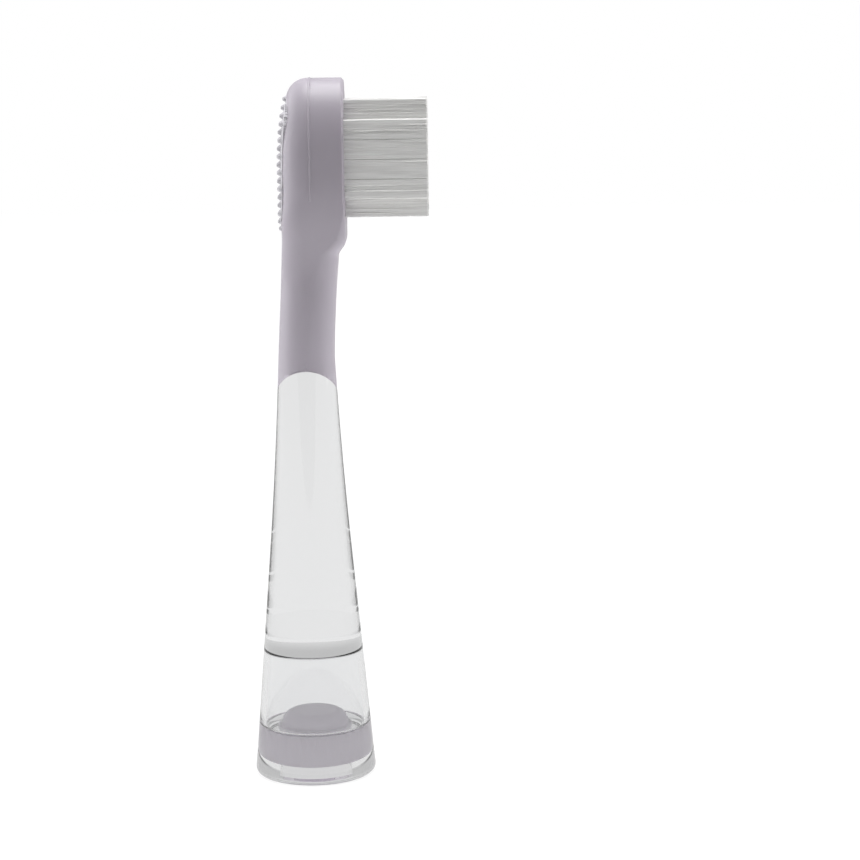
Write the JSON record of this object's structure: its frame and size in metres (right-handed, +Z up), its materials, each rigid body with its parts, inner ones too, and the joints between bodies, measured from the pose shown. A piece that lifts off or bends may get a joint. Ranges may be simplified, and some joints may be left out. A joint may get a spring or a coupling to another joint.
{
  "type": "electric toothbrush head",
  "caption": "Replacement toothbrush head: a clear hollow stem with a drive socket in its foot, a slim lilac neck, a flat-trimmed field of bristle tufts and a nubbed tongue cleaner on the back.",
  "frame": {"origin": "centre of the foot rim, on the plane that the head stands on", "axes": "+Z up along the stem, +X the way the bristles point, +Y across the brush plate"},
  "size_m": [0.0221, 0.0145, 0.0835],
  "materials": {
    "clear_plastic": "gloss",
    "lilac_plastic": "satin",
    "soft_pad": "matte",
    "bristle_nylon": "satin",
    "staple_metal": "satin"
  },
  "bodies": {
    "root": {"clear_stem": "clear_plastic", "foot_plug": "clear_plastic", "head_and_neck": "lilac_plastic", "shaft_coupling": "lilac_plastic", "tongue_cleaner": "soft_pad", "tuft_anchors": "staple_metal", "tuft_01": "bristle_nylon", "tuft_02": "bristle_nylon", "tuft_03": "bristle_nylon", "tuft_04": "bristle_nylon", "tuft_05": "bristle_nylon", "tuft_06": "bristle_nylon", "tuft_07": "bristle_nylon", "tuft_08": "bristle_nylon", "tuft_09": "bristle_nylon", "tuft_10": "bristle_nylon", "tuft_11": "bristle_nylon", "tuft_12": "bristle_nylon", "tuft_13": "bristle_nylon", "tuft_14": "bristle_nylon", "tuft_15": "bristle_nylon", "tuft_16": "bristle_nylon", "tuft_17": "bristle_nylon", "tuft_18": "bristle_nylon", "tuft_19": "bristle_nylon", "tuft_20": "bristle_nylon"}
  },
  "joints": []
}
